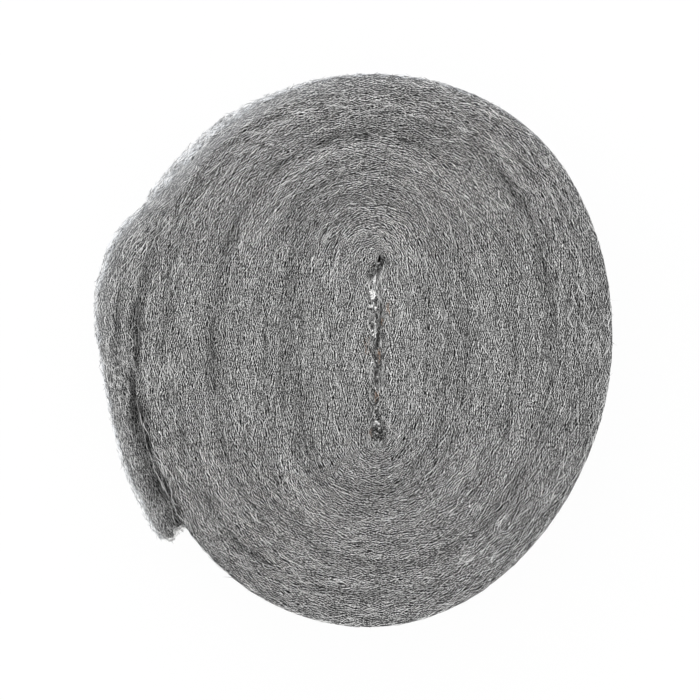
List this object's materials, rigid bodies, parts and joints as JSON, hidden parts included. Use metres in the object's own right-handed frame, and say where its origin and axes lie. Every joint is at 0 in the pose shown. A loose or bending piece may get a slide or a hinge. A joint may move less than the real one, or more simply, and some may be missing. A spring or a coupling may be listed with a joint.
{
  "type": "steel wool roll",
  "caption": "Roll of matted steel wool strip wound in an oval spiral round a flat fold, with its loose outer end sprung off the side.",
  "frame": {"origin": "centre of the box round the roll, on the end that it stands on", "axes": "+Z along the roll's axis, up out of the end face that shows its turns; +Y along the flat fold and the longer side of the oval; the loose outer end lies at -X"},
  "size_m": [0.1132, 0.121, 0.09],
  "materials": {
    "steel_wool": "matted fine steel fibre, dull mid grey with small bright strands"
  },
  "bodies": {
    "root": {"wool_roll": "steel_wool"}
  },
  "joints": []
}
